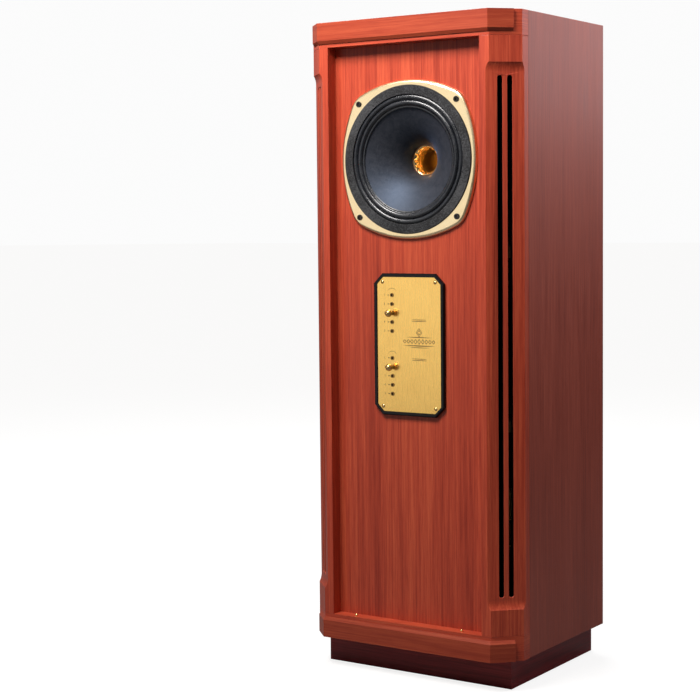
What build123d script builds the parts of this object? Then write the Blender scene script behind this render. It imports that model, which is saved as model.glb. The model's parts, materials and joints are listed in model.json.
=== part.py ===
"""Floorstanding loudspeaker with one dual-concentric driver in a ported wooden cabinet.

Millimetres. +X is right and +Y is back as seen from the front, +Z is up. The origin is on the
floor under the middle of the whole object. Depths are measured back from the front moulding.
"""

import os
from math import asin, cos, pi, radians, sin, sqrt

from build123d import *

# ---------------------------------------------------------------- cabinet
HEIGHT = 1100.0
WIDTH = 406.0
DEPTH = 338.0  # front moulding to the back panel's outer face
TERMINAL_REACH = 28.0  # binding posts behind the back panel
FRONT = -(DEPTH + TERMINAL_REACH) / 2  # y of the front moulding's face

HALF = WIDTH / 2
PANEL = 18.0
INNER = HALF - PANEL  # inside face of a side panel
PLINTH_H = 51.0
PLINTH_SIDE_INSET = 23.0
PLINTH_FRONT_INSET = 43.0
RAIL_H = 41.5
RAIL_FACE = 5.0  # depth of the rails' and posts' front face
RAIL_BOTTOM_TOP = PLINTH_H + RAIL_H
RAIL_TOP_BOTTOM = HEIGHT - RAIL_H
CORNER_X = 164.0  # where the front face turns into the 45 degree chamfer
CORNER_DEPTH = RAIL_FACE + HALF - CORNER_X  # where the chamfer meets the side
SEAM_DEPTH = 64.0  # where the front posts meet the side panels
OPENING_HALF = 146.0  # half the width between the posts
BAFFLE_DEPTH = 27.0
BAFFLE_T = 25.0
BAFFLE_BACK = BAFFLE_DEPTH + BAFFLE_T

MOULDING_CORNER_X = 164.5
MOULDING_END_X = 195.2
MOULDING_FACE_H = 30.0
MOULDING_BEVEL_H = 5.5
MOULDING_BEVEL_D = 3.4

PEG_X, PEG_DEPTH = 104.0, 13.0  # two pegs on the bottom rail locate a removable grille
PEG_R, PEG_H = 2.6, 4.0
PEG_SPIGOT_R, PEG_SPIGOT = 1.6, 8.0

# ---------------------------------------------------------------- stopped chamfers and ports
STOP_CUT = 4.5  # how much deeper the stopped chamfer is
STOP_RUN = 14.0  # length of its curved ends
STOP_LOW = 136.0
STOP_HIGH = 1016.5
SLOT_LOW = 155.3
SLOT_HIGH = 995.7
SLOT_W = 8.5
SLOT_PITCH = 16.5
SLOT_CUT = 24.0  # through the wood and into the channel
PORT_WALL = 14.0  # wood between the stopped chamfer and the channel behind it
CHANNEL_X = 156.0
CHANNEL_MARGIN = 20.0

# ---------------------------------------------------------------- inside the cabinet
BRACE_T = 18.0
BRACE_LEVELS = (420.0, 705.0)
BRACE_WINDOW_X = (15.0, 155.0)
BRACE_WINDOW_DEPTH = (95.0, 290.0)
BRACE_CORNER_R = 25.0
BRACE_TONGUE = 145.0
PAD_T = 20.0
PAD_DEPTH = (76.0, 306.0)
PAD_GAP = 12.0
PAD_LOWEST = 60.0  # the lowest pads start this far above the bottom panel
BACK_PAD_HALF = 120.0

# ---------------------------------------------------------------- driver, on a y axis
DRIVER_Z = 867.5
TRIM_FRONT = 21.0
TRIM_CORNER = 104.0
TRIM_APEX = 131.0
TRIM_FILLET = 36.0
TRIM_EDGE_R = 5.0
TRIM_HOLE_R = 122.8
POCKET_FRONT = 23.6
FLANGE_INSET = 3.2
DRIVER_SCREW_AT = 94.6
GASKET_FRONT = 19.0
GASKET_R = (107.0, 122.5)
SURROUND_T = 0.9
ROLL_RISE = 3.6
CONE_EDGE_R = 89.0
NECK_R = 26.4
NECK_DEPTH = 80.0
CONE_T = 1.2
BASKET_R = 111.0
BAFFLE_HOLE_R = 113.0
MOTOR_DEPTHS = (97.0, 105.0, 130.0, 138.0)  # front plate, magnet, back plate, end
MOTOR_R = 74.0
POLE_R = 25.2
COIL_R = 27.4
GAP_R = 28.2
HORN_R = 24.6
HORN_BORE_R = 19.8
HF_COVER_R = 46.0
HF_END = 188.0

# ---------------------------------------------------------------- control panel
PANEL_Z = 560.5
BEZEL_W, BEZEL_H, BEZEL_CUT = 137.0, 238.0, 17.0
BEZEL_FRONT = 21.0
PLATE_W, PLATE_H, PLATE_CUT = 124.4, 225.4, 12.0
PLATE_FRONT, PLATE_T = 22.5, 2.2
CUTOUT_W, CUTOUT_H = 100.0, 202.0
PLATE_SCREW_X, PLATE_SCREW_Z = 51.5, 104.5
SOCKET_X = -32.8
SOCKET_PITCH = 15.05
SOCKET_ROWS = (52.5, -53.0)  # centres of the two groups, above PANEL_Z
SOCKET_R, SOCKET_BORE_R = 3.5, 2.0
SOCKET_FRONT, SOCKET_END = 21.6, 38.0
KNOB_PLACES = (SOCKET_ROWS[0], SOCKET_ROWS[1] + SOCKET_PITCH)
KNOB_R = 6.0
KNOB_CENTRE = 11.6

# ---------------------------------------------------------------- rear terminals
TERMINAL_Z = 225.0
TERMINAL_PLATE_W, TERMINAL_PLATE_H, TERMINAL_PLATE_T = 130.0, 150.0, 3.0
POSTS = {
    "hf_positive": (24.0, 262.0),
    "hf_negative": (-24.0, 262.0),
    "lf_positive": (24.0, 218.0),
    "lf_negative": (-24.0, 218.0),
    "earth": (0.0, 184.0),
}
STUD_R, STUD_BORE_R = 4.0, 2.0
CAP_R = 8.0
INSULATOR_T = 3.0
WASHER_T = 1.5

# ---------------------------------------------------------------- crossover
BOARD_Z = PLINTH_H + PANEL + 6.0
BOARD_T = 2.4
BOARD_HALF_X = 125.0
BOARD_DEPTH = (110.0, 290.0)


# ================================================================ helpers
def y_at(depth):
    return FRONT + depth


def block(x, depth, z):
    """A box from (low, high) pairs."""
    size = [pair[1] - pair[0] for pair in (x, depth, z)]
    middle = [(pair[0] + pair[1]) / 2 for pair in (x, depth, z)]
    return Pos(middle[0], y_at(middle[1]), middle[2]) * Box(*size)


def prism(plan, z):
    """A plan outline of (x, depth) points, extruded between two heights."""
    points = [(x, y_at(depth)) for x, depth in plan]
    face = make_face(Polyline(*points, close=True))
    return Pos(0, 0, z[0]) * extrude(face, z[1] - z[0])


def turned(outline, x=0.0, z=DRIVER_Z):
    """A closed outline of (radius, depth) points or edges, turned about a y axis."""
    if not isinstance(outline[0], tuple):
        face = make_face(outline)
    else:
        face = make_face(Polyline(*outline, close=True))
    return Pos(x, FRONT, z) * revolve(face, Axis.Y, 360)


def disc(radius, depth, x=0.0, z=DRIVER_Z):
    """A solid cylinder along y between two depths."""
    low, high = depth
    return turned([(0, low), (radius, low), (radius, high), (0, high)], x, z)


def ring(inner, outer, depth, x=0.0, z=DRIVER_Z):
    low, high = depth
    return turned([(inner, low), (outer, low), (outer, high), (inner, high)], x, z)


def upright(face, depth, z=DRIVER_Z):
    """A face drawn as (x, height) and extruded back between two depths."""
    plane = Plane((0, y_at(depth[1]), z), x_dir=(1, 0, 0), z_dir=(0, -1, 0))
    return extrude(plane * face, depth[1] - depth[0])


def cut_corner_rectangle(width, height, cut):
    w, h = width / 2, height / 2
    points = [(-w + cut, -h), (w - cut, -h), (w, -h + cut), (w, h - cut)]
    points += [(w - cut, h), (-w + cut, h), (-w, h - cut), (-w, -h + cut)]
    return make_face(Polyline(*points, close=True))


def corners(x, y):
    return [(sx * x, sy * y) for sx in (-1, 1) for sy in (-1, 1)]


def group(solids):
    return Compound(list(solids))


def left_of(right):
    return mirror(right, about=Plane.YZ)


# ================================================================ cabinet
def front_section():
    return [
        (-HALF, SEAM_DEPTH),
        (-HALF, CORNER_DEPTH),
        (-CORNER_X, RAIL_FACE),
        (CORNER_X, RAIL_FACE),
        (HALF, CORNER_DEPTH),
        (HALF, SEAM_DEPTH),
    ]


def rail(low, high):
    return prism(front_section(), (low, high))


def moulding_plan(setback):
    """Half outlines of the moulding with its faces set back, joined about the middle."""
    face_line = MOULDING_CORNER_X - sqrt(2) * setback
    end_sum = MOULDING_END_X + (MOULDING_END_X - MOULDING_CORNER_X)
    rail_line = CORNER_X - RAIL_FACE
    half = [
        (CORNER_X, RAIL_FACE),
        ((end_sum + rail_line) / 2, (end_sum - rail_line) / 2),
        ((end_sum + face_line) / 2, (end_sum - face_line) / 2),
        (face_line + setback, setback),
    ]
    return half + [(-x, depth) for x, depth in reversed(half)]


def moulding(flat, bevel_end):
    """A band round the front and both chamfers; one edge slopes away to bevel_end."""
    band = prism(moulding_plan(0), flat)
    start = min(flat, key=lambda z: abs(z - bevel_end))
    sections = []
    for z, setback in ((start, 0), (bevel_end, MOULDING_BEVEL_D)):
        points = [(x, y_at(depth)) for x, depth in moulding_plan(setback)]
        sections.append(Pos(0, 0, z) * make_face(Polyline(*points, close=True)))
    return band + loft(sections, ruled=True)


def stopped_chamfer():
    """What is cut from the right post: a deeper chamfer that ends in a curve at both ends."""
    middle = (STOP_LOW + STOP_HIGH) / 2
    half = (STOP_HIGH - STOP_LOW) / 2
    foot = half - STOP_RUN
    proud = 12.0
    edges = [
        Line((-foot, -STOP_CUT), (foot, -STOP_CUT)),
        TangentArc((foot, -STOP_CUT), (half, 0), tangent=(1, 0)),
        Line((half, 0), (half, proud)),
        Line((half, proud), (-half, proud)),
        Line((-half, proud), (-half, 0)),
        TangentArc((-foot, -STOP_CUT), (-half, 0), tangent=(-1, 0)),
    ]
    x = (CORNER_X + HALF) / 2
    depth = (RAIL_FACE + CORNER_DEPTH) / 2
    plane = Plane((x, y_at(depth), middle), x_dir=(0, 0, 1), z_dir=(1, 1, 0))
    return extrude(plane * make_face(edges), 40.0, both=True)


def port_slots():
    x = (CORNER_X + HALF) / 2
    depth = (RAIL_FACE + CORNER_DEPTH) / 2
    middle = (SLOT_LOW + SLOT_HIGH) / 2
    plane = Plane((x, y_at(depth), middle), x_dir=(1, 1, 0), z_dir=(1, -1, 0))
    slots = []
    for side in (-1, 1):
        outline = SlotOverall(SLOT_HIGH - SLOT_LOW, SLOT_W, rotation=90)
        slots.append(extrude(plane * Pos(side * SLOT_PITCH / 2, 0) * outline, -SLOT_CUT))
    return slots


def port_channel():
    """The hollow behind the slots, open to the cabinet."""
    inner_line = CORNER_X - RAIL_FACE - sqrt(2) * (STOP_CUT + PORT_WALL)
    plan = [
        (CHANNEL_X, SEAM_DEPTH),
        (CHANNEL_X, CHANNEL_X - inner_line),
        (INNER, INNER - inner_line),
        (INNER, SEAM_DEPTH),
    ]
    return prism(plan, (SLOT_LOW - CHANNEL_MARGIN, SLOT_HIGH + CHANNEL_MARGIN))


def right_post():
    plan = [
        (OPENING_HALF, RAIL_FACE),
        (CORNER_X, RAIL_FACE),
        (HALF, CORNER_DEPTH),
        (HALF, SEAM_DEPTH),
        (OPENING_HALF, SEAM_DEPTH),
    ]
    post = prism(plan, (RAIL_BOTTOM_TOP, RAIL_TOP_BOTTOM))
    post -= stopped_chamfer()
    for slot in port_slots():
        post -= slot
    return post - port_channel()


def right_side_panel():
    return block((INNER, HALF), (SEAM_DEPTH, DEPTH), (PLINTH_H, HEIGHT))


def cross_panel(z):
    return block((-INNER, INNER), (SEAM_DEPTH, DEPTH), z)


def back_panel():
    z = (PLINTH_H + PANEL, HEIGHT - PANEL)
    panel = block((-INNER, INNER), (DEPTH - PANEL, DEPTH), z)
    margin = 18.0
    half = TERMINAL_PLATE_W / 2 - margin
    low = TERMINAL_Z - TERMINAL_PLATE_H / 2 + margin
    high = TERMINAL_Z + TERMINAL_PLATE_H / 2 - margin
    panel -= block((-half, half), (DEPTH - PANEL - 1, DEPTH + 1), (low, high))
    for x, z_screw in terminal_screws():
        panel -= disc(SCREW_SHANK_R, (DEPTH - SCREW_DEEP, DEPTH + 1), x, z_screw)
    return panel


def front_baffle():
    z = (RAIL_BOTTOM_TOP, RAIL_TOP_BOTTOM)
    panel = block((-OPENING_HALF, OPENING_HALF), (BAFFLE_DEPTH, BAFFLE_BACK), z)
    panel -= disc(BAFFLE_HOLE_R, (BAFFLE_DEPTH - 1, BAFFLE_BACK + 1))
    half = CUTOUT_H / 2
    low, high = PANEL_Z - half, PANEL_Z + half
    panel -= block((-CUTOUT_W / 2, CUTOUT_W / 2), (BAFFLE_DEPTH - 1, BAFFLE_BACK + 1), (low, high))
    for x, z_off in corners(DRIVER_SCREW_AT, DRIVER_SCREW_AT):
        panel -= disc(BOLT_R, (BAFFLE_DEPTH - 1, BOLT_END), x, DRIVER_Z + z_off)
    for x, z_off in corners(PLATE_SCREW_X, PLATE_SCREW_Z):
        panel -= disc(SCREW_SHANK_R, (BAFFLE_DEPTH - 1, PLATE_FRONT + SCREW_DEEP), x, PANEL_Z + z_off)
    return panel


def window_brace(level):
    depth = (SEAM_DEPTH, DEPTH - PANEL)
    brace = block((-INNER, INNER), depth, (level, level + BRACE_T))
    for side in (-1, 1):
        x = sorted(side * value for value in BRACE_WINDOW_X)
        window = block(x, BRACE_WINDOW_DEPTH, (level - 1, level + BRACE_T + 1))
        posts = window.edges().filter_by(Axis.Z)
        brace -= fillet(posts, BRACE_CORNER_R)
    tongue = block((-BRACE_TONGUE, BRACE_TONGUE), (BAFFLE_BACK, SEAM_DEPTH), (level, level + BRACE_T))
    return brace + tongue


def window_braces():
    return group(window_brace(level) for level in BRACE_LEVELS)


def damping_pads():
    """Foam on the side walls and the back, one pad for each bay between the braces."""
    floor, ceiling = PLINTH_H + PANEL, HEIGHT - PANEL
    lows = [floor + PAD_LOWEST] + [level + BRACE_T for level in BRACE_LEVELS]
    highs = list(BRACE_LEVELS) + [ceiling]
    pads = []
    for low, high in zip(lows, highs):
        z = (low + PAD_GAP, high - PAD_GAP)
        for x in ((-INNER, -INNER + PAD_T), (INNER - PAD_T, INNER)):
            pads.append(block(x, PAD_DEPTH, z))
    back = (DEPTH - PANEL - PAD_T, DEPTH - PANEL)
    for low, high in zip(lows[1:], highs[1:]):
        pads.append(block((-BACK_PAD_HALF, BACK_PAD_HALF), back, (low + PAD_GAP, high - PAD_GAP)))
    return group(pads)


# ================================================================ plinth
PLINTH_BOARD = 18.0
BLOCK_SIDE = 45.0
INSERT_R, INSERT_BORE_R, INSERT_LENGTH = 6.0, 4.0, 22.0
PLINTH_HALF = HALF - PLINTH_SIDE_INSET


def insert_places():
    x = PLINTH_HALF - PLINTH_BOARD - BLOCK_SIDE / 2
    front = PLINTH_FRONT_INSET + PLINTH_BOARD + BLOCK_SIDE / 2
    back = DEPTH - PLINTH_BOARD - BLOCK_SIDE / 2
    return [(side * x, depth) for side in (-1, 1) for depth in (front, back)]


def plinth_frame():
    """Four boards and four corner blocks, each its own solid."""
    z = (0, PLINTH_H)
    front, back = PLINTH_FRONT_INSET, DEPTH
    boards = [
        block((-PLINTH_HALF, PLINTH_HALF), (front, front + PLINTH_BOARD), z),
        block((-PLINTH_HALF, PLINTH_HALF), (back - PLINTH_BOARD, back), z),
    ]
    inside = PLINTH_HALF - PLINTH_BOARD
    for x in ((-PLINTH_HALF, -inside), (inside, PLINTH_HALF)):
        boards.append(block(x, (front + PLINTH_BOARD, back - PLINTH_BOARD), z))
    half = BLOCK_SIDE / 2
    for x, depth in insert_places():
        corner = block((x - half, x + half), (depth - half, depth + half), z)
        hole = Pos(x, y_at(depth), INSERT_LENGTH / 2) * Cylinder(INSERT_R, INSERT_LENGTH)
        boards.append(corner - hole)
    return group(boards)


def spike_inserts():
    sleeves = []
    for x, depth in insert_places():
        sleeve = Cylinder(INSERT_R, INSERT_LENGTH) - Cylinder(INSERT_BORE_R, INSERT_LENGTH)
        sleeves.append(Pos(x, y_at(depth), INSERT_LENGTH / 2) * sleeve)
    return group(sleeves)


# ================================================================ driver
BOLT_R, BOLT_HEAD_R, BOLT_HEAD_FRONT, BOLT_END = 3.0, 4.8, 19.4, 44.0
SCREW_SHANK_R, SCREW_HEAD_R, SCREW_DEEP = 1.6, 3.2, 16.0


def trim_outline(inset=0.0):
    """Four shallow arcs that meet at rounded corners, moved inwards by inset."""
    sagitta = TRIM_APEX - TRIM_CORNER
    full_radius = (TRIM_CORNER**2 + sagitta**2) / (2 * sagitta)
    centre = full_radius - TRIM_APEX
    radius = full_radius - inset
    apex = radius - centre
    a = (sqrt(2 * radius**2 - centre**2) - centre) / 2
    arcs = [
        ThreePointArc((-a, a), (0, apex), (a, a)),
        ThreePointArc((a, a), (apex, 0), (a, -a)),
        ThreePointArc((a, -a), (0, -apex), (-a, -a)),
        ThreePointArc((-a, -a), (-apex, 0), (-a, a)),
    ]
    face = make_face(arcs)
    return fillet(face.vertices(), TRIM_FILLET - inset)


def driver_trim_ring():
    """The decorative front ring, hollow behind to cover the chassis flange."""
    body = upright(trim_outline(), (TRIM_FRONT, BAFFLE_DEPTH))
    body = fillet(body.edges().group_by(Axis.Y)[0], TRIM_EDGE_R)
    body -= upright(trim_outline(FLANGE_INSET - 0.2), (POCKET_FRONT, BAFFLE_DEPTH + 1))
    body -= disc(TRIM_HOLE_R, (TRIM_FRONT - 1, BAFFLE_DEPTH + 1))
    for x, z_off in corners(DRIVER_SCREW_AT, DRIVER_SCREW_AT):
        body -= disc(BOLT_HEAD_R + 0.3, (TRIM_FRONT - 3, TRIM_FRONT + 1.0), x, DRIVER_Z + z_off)
        body -= disc(BOLT_R, (TRIM_FRONT - 1, BAFFLE_DEPTH + 1), x, DRIVER_Z + z_off)
    return body


def driver_chassis():
    flange = upright(trim_outline(FLANGE_INSET), (POCKET_FRONT, BAFFLE_DEPTH))
    wall = 4.5
    inner = BASKET_R - wall
    basket = [
        (inner, POCKET_FRONT),
        (BASKET_R, POCKET_FRONT),
        (BASKET_R, 48.0),
        (72.0, 93.0),
        (MOTOR_R, 93.0),
        (MOTOR_R, MOTOR_DEPTHS[0]),
        (48.0, MOTOR_DEPTHS[0]),
        (48.0, 94.0),
        (60.0, 94.0),
        (60.0, 89.0),
        (67.0, 89.0),
        (inner, 48.0),
    ]
    body = flange - disc(inner, (POCKET_FRONT - 1, BAFFLE_DEPTH + 1)) + turned(basket)
    for i in range(6):
        body -= basket_window(i * 60.0)
    for x, z_off in corners(DRIVER_SCREW_AT, DRIVER_SCREW_AT):
        body -= disc(BOLT_R, (POCKET_FRONT - 1, BAFFLE_DEPTH + 1), x, DRIVER_Z + z_off)
    return body


def basket_window(angle):
    """One opening between two basket legs: a radial wedge with rounded corners."""
    half_width, near, far = 30.0, 54.0, 85.0
    window = block((-half_width, half_width), (near, far), (70.0, 118.0))
    window = fillet(window.edges().filter_by(Axis.Z), 7.0)
    return Pos(0, 0, DRIVER_Z) * Rot(0, angle, 0) * window


def surround_gasket():
    low, high = GASKET_R
    body = ring(low, high, (GASKET_FRONT, POCKET_FRONT - SURROUND_T))
    return fillet(body.edges().group_by(Axis.Y)[0], 0.8)


def cone_surround():
    """Two half rolls between the glued flange and the cone's edge."""
    outer, inner = GASKET_R[0], CONE_EDGE_R
    flat_back = POCKET_FRONT
    flat_front = flat_back - SURROUND_T
    rim = GASKET_R[1] - 1.5
    groove = (outer + inner) / 2
    height = ROLL_RISE
    crest_outer, crest_inner = (outer + groove) / 2, (inner + groove) / 2
    crest_back = flat_back - height
    lip = inner - 4.0
    front = [
        Line((rim, flat_front), (outer, flat_front)),
        ThreePointArc((outer, flat_front), (crest_outer, flat_front - height), (groove, flat_front)),
        ThreePointArc((groove, flat_front), (crest_inner, flat_front - height), (inner, flat_front)),
        Line((inner, flat_front), (lip, flat_front)),
        Line((lip, flat_front), (lip, flat_back)),
    ]
    t = SURROUND_T
    back = [
        Line((lip, flat_back), (inner + t, flat_back)),
        ThreePointArc((inner + t, flat_back), (crest_inner, crest_back), (groove - t / 2, flat_back)),
        Line((groove - t / 2, flat_back), (groove + t / 2, flat_back)),
        ThreePointArc((groove + t / 2, flat_back), (crest_outer, crest_back), (outer - t, flat_back)),
        Line((outer - t, flat_back), (rim, flat_back)),
        Line((rim, flat_back), (rim, flat_front)),
    ]
    return turned(front + back)


def speaker_cone():
    """A flared paper cone with a flat glued edge and a short neck collar."""
    edge, neck, t = CONE_EDGE_R, NECK_R, CONE_T
    start = POCKET_FRONT
    lip = edge + 1.5
    shallow, steep = (60.0, 37.0), (32.5, 52.0)
    outline = [
        Line((lip, start), (edge - 2, start)),
        Bezier((edge - 2, start), shallow, steep, (neck, NECK_DEPTH)),
        Line((neck, NECK_DEPTH), (neck, NECK_DEPTH + 4)),
        Line((neck, NECK_DEPTH + 4), (neck + t, NECK_DEPTH + 4)),
        Line((neck + t, NECK_DEPTH + 4), (neck + t, NECK_DEPTH)),
        Bezier(
            (neck + t, NECK_DEPTH),
            (steep[0] + t, steep[1] + t),
            (shallow[0] + t / 2, shallow[1] + t),
            (edge - 2, start + t),
        ),
        Line((edge - 2, start + t), (lip, start + t)),
        Line((lip, start + t), (lip, start)),
    ]
    return turned(outline)


def voice_coil():
    """The former and the winding on it."""
    former = ring(NECK_R - 0.5, NECK_R, (NECK_DEPTH, 112.0))
    winding = ring(NECK_R, COIL_R, (94.0, 108.0))
    return group([former, winding])


def spider():
    """A corrugated cloth disc from the coil former to the shelf in the basket."""
    inner, outer, shelf = NECK_R, 60.0, 89.0
    t, wave, waves = 0.6, 1.5, 5
    step = (outer - inner - 4) / (2 * waves)
    radii = [inner + 4 + i * step for i in range(2 * waves + 1)]
    depths = [shelf - t + (wave if i % 2 else 0) for i in range(2 * waves + 1)]
    front = [(inner, shelf - t)] + list(zip(radii, depths)) + [(66.0, shelf - t)]
    back = [(radius, depth + t) for radius, depth in reversed(front)]
    return turned(front + back)


def front_pole_plate():
    return ring(GAP_R, MOTOR_R, MOTOR_DEPTHS[0:2])


def ring_magnets():
    main = ring(38.0, MOTOR_R - 2, MOTOR_DEPTHS[1:3])
    hf = ring(14.0, 34.0, (163.0, 178.0))
    return group([main, hf])


def rear_pole_piece():
    """The back plate and the centre pole, bored for the waveguide."""
    gap, _, plate, end = MOTOR_DEPTHS
    outline = [(HORN_BORE_R, gap), (POLE_R, gap), (POLE_R, plate), (MOTOR_R, plate)]
    return turned(outline + [(MOTOR_R, end), (HORN_BORE_R, end)])


def hf_waveguide():
    """A flared tube from the high-frequency unit to the middle of the cone."""
    mouth, end = NECK_DEPTH, MOTOR_DEPTHS[3] + 4
    outline = [
        Line((HORN_R, mouth), (HORN_R, mouth + 6)),
        Line((HORN_R, mouth + 6), (HORN_BORE_R, MOTOR_DEPTHS[0] - 1)),
        Line((HORN_BORE_R, MOTOR_DEPTHS[0] - 1), (HORN_BORE_R, MOTOR_DEPTHS[3])),
        Line((HORN_BORE_R, MOTOR_DEPTHS[3]), (34.0, MOTOR_DEPTHS[3])),
        Line((34.0, MOTOR_DEPTHS[3]), (34.0, end)),
        Line((34.0, end), (11.0, end)),
        Bezier((11.0, end), (12.0, end - 30), (17.0, mouth + 20), (HORN_R - 0.8, mouth)),
        Line((HORN_R - 0.8, mouth), (HORN_R, mouth)),
    ]
    return turned(outline)


def hf_phase_plug():
    """A disc drilled with rings of fine holes between the diaphragm and the waveguide."""
    start = MOTOR_DEPTHS[3] + 4
    depth = (start, start + 6)
    plug = disc(34.0, depth)
    for count, radius in ((1, 0.0), (6, 3.6), (12, 7.2)):
        for i in range(count):
            angle = 2 * pi * i / count
            x, z = radius * cos(angle), DRIVER_Z + radius * sin(angle)
            plug -= disc(1.1, (depth[0] - 1, depth[1] + 1), x, z)
    return plug


def dome_arc(ball, radius, start, sign=1):
    """The arc of a ball centred on the axis, from the axis out to a radius."""
    angle = asin(radius / ball)
    middle = (ball * sin(angle / 2), start + sign * ball * (1 - cos(angle / 2)))
    end = (radius, start + sign * ball * (1 - cos(angle)))
    return ThreePointArc((0, start), middle, end), end


def hf_diaphragm():
    """A thin dome with its coil; it has air all round."""
    start, skirt, radius, ball, t = 150.0, 160.0, 24.0, 60.0, 0.5
    inside, inner_end = dome_arc(ball - t, radius, start + t)
    outside, outer_end = dome_arc(ball, radius + t, start)
    outline = [
        Line((0, start), (0, start + t)),
        inside,
        Line(inner_end, (radius, skirt)),
        Line((radius, skirt), (radius + t, skirt)),
        Line((radius + t, skirt), outer_end),
        outside,
    ]
    return turned(outline)


def hf_rear_cover():
    wall, shoulder = 4.0, MOTOR_DEPTHS[3]
    outline = [
        (HF_COVER_R - wall, shoulder),
        (HF_COVER_R, shoulder),
        (HF_COVER_R, HF_END - 6),
        (HF_COVER_R - 6, HF_END),
        (0, HF_END),
        (0, 178.0),
        (HF_COVER_R - wall, 178.0),
    ]
    return turned(outline)


def driver_screws():
    """Four black cap screws with a hexagon socket."""
    solids = []
    for x, z_off in corners(DRIVER_SCREW_AT, DRIVER_SCREW_AT):
        z = DRIVER_Z + z_off
        screw = disc(BOLT_HEAD_R, (BOLT_HEAD_FRONT, TRIM_FRONT + 1.0), x, z)
        screw += disc(BOLT_R, (TRIM_FRONT + 1.0, BOLT_END), x, z)
        socket = Pos(x, 0) * RegularPolygon(2.6, 6)
        solids.append(screw - upright(socket, (BOLT_HEAD_FRONT - 1, BOLT_HEAD_FRONT + 2), z))
    return group(solids)


def driver_terminals():
    """A tag board on the basket's motor ring, with four solder tags."""
    z = DRIVER_Z - MOTOR_R
    board = block((-22.0, 22.0), (98.0, 116.0), (z - 5, z - 2))
    tags = [block((x - 2, x + 2), (116.0, 123.0), (z - 4.2, z - 3.2)) for x in (-16, -6, 6, 16)]
    bracket = block((-10.0, 10.0), (98.0, 104.0), (z - 2, z + 0.2))
    foot = bracket - disc(MOTOR_R, (97.0, 105.0))
    return group([board + foot] + tags)


# ================================================================ control panel
def socket_places():
    places = []
    for centre in SOCKET_ROWS:
        for i in range(-2, 3):
            places.append((SOCKET_X, PANEL_Z + centre + i * SOCKET_PITCH))
    return places


def control_bezel():
    body = upright(cut_corner_rectangle(BEZEL_W, BEZEL_H, BEZEL_CUT), (BEZEL_FRONT, BAFFLE_DEPTH), PANEL_Z)
    body = fillet(body.edges().group_by(Axis.Y)[0], 2.0)
    ledge = PLATE_FRONT + PLATE_T
    pocket = cut_corner_rectangle(PLATE_W + 0.6, PLATE_H + 0.6, PLATE_CUT)
    body -= upright(pocket, (BEZEL_FRONT - 1, ledge), PANEL_Z)
    body -= upright(Rectangle(CUTOUT_W, CUTOUT_H), (ledge - 1, BAFFLE_DEPTH + 1), PANEL_Z)
    for x, z_off in corners(PLATE_SCREW_X, PLATE_SCREW_Z):
        body -= disc(SCREW_SHANK_R, (ledge - 1, BAFFLE_DEPTH + 1), x, PANEL_Z + z_off)
    return body


def control_plate():
    depth = (PLATE_FRONT, PLATE_FRONT + PLATE_T)
    through = (depth[0] - 1, depth[1] + 1)
    plate = upright(cut_corner_rectangle(PLATE_W, PLATE_H, PLATE_CUT), depth, PANEL_Z)
    for x, z_off in corners(PLATE_SCREW_X, PLATE_SCREW_Z):
        plate -= disc(SCREW_SHANK_R, through, x, PANEL_Z + z_off)
    for x, z in socket_places():
        plate -= disc(SOCKET_R - 0.6, through, x, z)
    return plate


def selector_sockets():
    """Ten threaded contact bushes; the two that hold a knob are the same as the rest."""
    body = SOCKET_R - 0.6
    bore = SOCKET_BORE_R
    outline = [
        (bore, SOCKET_FRONT),
        (SOCKET_R, SOCKET_FRONT),
        (SOCKET_R, PLATE_FRONT),
        (body, PLATE_FRONT),
        (body, SOCKET_END),
        (bore, SOCKET_END),
    ]
    return group(turned(outline, x, z) for x, z in socket_places())


def selector_board():
    depth = (33.0, 34.6)
    width, height = CUTOUT_W - 2, CUTOUT_H - 2
    board = upright(Rectangle(width, height), depth, PANEL_Z)
    for x, z in socket_places():
        board -= disc(SOCKET_R - 0.6, (depth[0] - 1, depth[1] + 1), x, z)
    return board


def selector_knob(z):
    """A ball on a threaded pin."""
    pin = SOCKET_BORE_R - 0.08
    neck = 2.4
    collar_front, collar_back = 18.2, 20.4
    ball = Pos(SOCKET_X, y_at(KNOB_CENTRE), z) * Sphere(KNOB_R)
    stem = turned(
        [(0, KNOB_CENTRE), (neck, KNOB_CENTRE), (neck, collar_front), (3.3, collar_front)]
        + [(3.3, collar_back), (pin, collar_back), (pin, 32.0), (0, 32.0)],
        SOCKET_X,
        z,
    )
    return ball + stem


def selector_washer(z):
    return ring(SOCKET_BORE_R + 0.02, 3.9, (20.5, 21.5), SOCKET_X, z)


# ================================================================ rear terminals
def terminal_screws():
    x, z = TERMINAL_PLATE_W / 2 - 9, TERMINAL_PLATE_H / 2 - 9
    rows = [(sx * x, TERMINAL_Z + off) for sx in (-1, 1) for off in (-z + 8, 0, z - 8)]
    return rows


def terminal_plate():
    depth = (DEPTH, DEPTH + TERMINAL_PLATE_T)
    through = (depth[0] - 1, depth[1] + 1)
    outline = cut_corner_rectangle(TERMINAL_PLATE_W, TERMINAL_PLATE_H, PLATE_CUT)
    plate = upright(outline, depth, TERMINAL_Z)
    for x, z in terminal_screws():
        plate -= disc(SCREW_SHANK_R, through, x, z)
    for x, z in POSTS.values():
        plate -= disc(STUD_R + 2, through, x, z)
    return plate


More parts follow.
